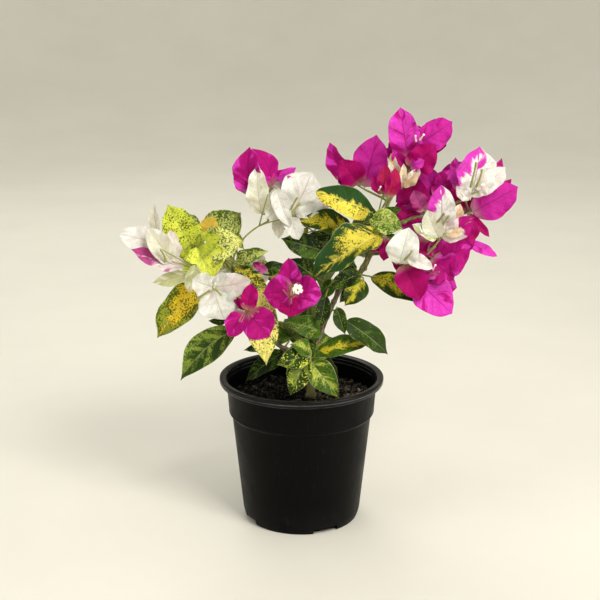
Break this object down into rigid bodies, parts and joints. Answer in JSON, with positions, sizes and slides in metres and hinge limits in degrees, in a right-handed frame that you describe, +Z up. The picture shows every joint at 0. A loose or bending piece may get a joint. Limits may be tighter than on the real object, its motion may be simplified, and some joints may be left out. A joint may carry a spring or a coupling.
{
  "type": "potted bougainvillea bush",
  "caption": "Young flowering bush with splashed leaves and magenta and white papery bracts on thin leaning stems, in a round black nursery pot.",
  "frame": {"origin": "centre of the flat underside of the pot", "axes": "+Z up through the pot's axis; the open, showing side of the bush faces -Y, and +X points to its tall magenta crown"},
  "size_m": [0.3109, 0.1417, 0.3271],
  "materials": {
    "pot_plastic": "satin moulded black plastic",
    "potting_mix": "loose dark bark and peat mix",
    "stem_bark": "thin olive-brown bark",
    "green_leaf": "soft satin leaf",
    "lime_leaf": "soft satin leaf",
    "magenta_bract": "papery, thin",
    "white_bract": "papery, thin"
  },
  "bodies": {
    "root": {"pot": "pot_plastic", "main_stem": "stem_bark", "leader": "stem_bark", "leader_top": "stem_bark", "left_bough": "stem_bark", "left_bough_top": "stem_bark", "left_spray_stalk": "stem_bark", "high_flower_stalk": "stem_bark", "crown_shoot": "stem_bark", "right_bough": "stem_bark", "low_right_bough": "stem_bark", "back_bough": "stem_bark", "back_left_bough": "stem_bark", "back_low_bough": "stem_bark", "potting_mix": "potting_mix", "left_upper_bracts": "white_bract", "left_lower_bracts": "magenta_bract", "left_lime_leaves": "lime_leaf", "left_hanging_leaf": "lime_leaf", "left_white_blossom": "white_bract", "left_lower_leaf": "green_leaf", "left_magenta_blossom": "magenta_bract", "hanging_yellow_leaf": "lime_leaf", "mid_left_leaves": "green_leaf", "high_magenta_bract": "magenta_bract", "high_white_blossom": "white_bract", "mid_magenta_blossom": "magenta_bract", "centre_upper_leaves": "green_leaf", "broad_yellow_leaf": "lime_leaf", "long_upper_leaf": "green_leaf", "leader_leaves": "green_leaf", "inner_side_leaf": "green_leaf", "inner_olive_leaves": "green_leaf", "foot_left_leaves": "green_leaf", "foot_right_leaf": "green_leaf", "leaf_over_pot": "green_leaf", "low_right_leaf": "green_leaf", "far_right_leaf": "green_leaf", "right_yellow_leaf": "lime_leaf", "crown_heart_leaves": "green_leaf", "crown_left_blossom": "magenta_bract", "crown_bud_bracts": "magenta_bract", "crown_top_blossom": "magenta_bract", "crown_peach_bracts": "magenta_bract", "crown_middle_blossom": "magenta_bract", "crown_white_blossom": "white_bract", "crown_right_blossom": "magenta_bract", "crown_bicolour_blossom": "white_bract", "crown_outer_bracts": "magenta_bract", "crown_pale_bract": "white_bract", "crown_low_blossom": "magenta_bract", "crown_lowest_blossom": "magenta_bract", "back_crown_blossoms": "magenta_bract", "back_top_blossom": "magenta_bract", "back_crown_leaves": "green_leaf", "back_left_leaves": "lime_leaf", "back_left_blossom": "white_bract", "back_middle_leaves": "green_leaf", "back_low_leaves": "green_leaf"}
  },
  "joints": []
}
